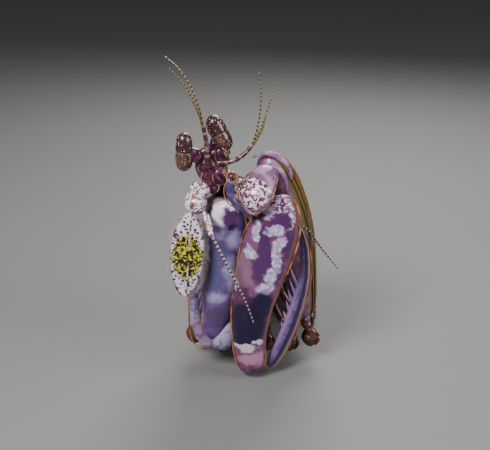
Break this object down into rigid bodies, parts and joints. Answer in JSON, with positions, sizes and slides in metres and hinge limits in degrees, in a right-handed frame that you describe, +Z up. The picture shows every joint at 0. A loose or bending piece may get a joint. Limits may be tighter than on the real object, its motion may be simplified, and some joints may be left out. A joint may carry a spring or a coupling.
{
  "type": "mantis shrimp",
  "caption": "Life-size still model of a spearing mantis shrimp reared up with folded toothed claws, stalked eyes and a tail fan.",
  "frame": {"origin": "centre of the footprint, on the floor", "axes": "+Y towards the tail, +X to the animal's left, +Z up"},
  "size_m": [0.0412, 0.1244, 0.0769],
  "materials": {
    "shell": "glossy mottled shell plate",
    "claw": "wet glossy shell, purple, white and burgundy",
    "flesh": "satin dark purple skin",
    "cornea": "clear wet gloss",
    "scale": "satin white with dark spots",
    "feeler": "satin ringed brown and yellow",
    "limb": "glossy orange brown",
    "fan": "glossy shell plate with paler edge"
  },
  "bodies": {
    "root": {"abdomen_1": "shell", "abdomen_2": "shell", "abdomen_3": "shell", "abdomen_4": "shell", "abdomen_5": "shell", "abdomen_6": "shell", "antenna_left": "feeler", "antenna_right": "feeler", "antennal_scale_left": "scale", "antennal_scale_right": "scale", "antennule_left": "feeler", "antennule_right": "feeler", "carapace": "shell", "claw_carpus_left": "claw", "claw_carpus_right": "claw", "claw_dactyl_left": "claw", "claw_dactyl_right": "claw", "claw_ischium_left": "limb", "claw_ischium_right": "limb", "claw_merus_left": "claw", "claw_merus_right": "claw", "claw_propodus_left": "claw", "claw_propodus_right": "claw", "eye_left": "cornea", "eye_right": "cornea", "eyestalk_left": "flesh", "eyestalk_right": "flesh", "head": "flesh", "leg_1_left": "limb", "leg_1_right": "limb", "leg_2_left": "limb", "leg_2_right": "limb", "leg_3_left": "limb", "leg_3_right": "limb", "maxilliped_3_left": "limb", "maxilliped_3_right": "limb", "maxilliped_4_left": "limb", "maxilliped_4_right": "limb", "maxilliped_5_left": "limb", "maxilliped_5_right": "limb", "pleopod_1_left": "limb", "pleopod_1_right": "limb", "pleopod_2_left": "limb", "pleopod_2_right": "limb", "pleopod_3_left": "limb", "pleopod_3_right": "limb", "pleopod_4_left": "limb", "pleopod_4_right": "limb", "pleopod_5_left": "limb", "pleopod_5_right": "limb", "rostral_plate": "shell", "telson": "fan", "thorax_5": "shell", "thorax_6": "shell", "thorax_7": "shell", "thorax_8": "shell", "trunk": "flesh", "uropod_left": "fan", "uropod_right": "fan"}
  },
  "joints": []
}
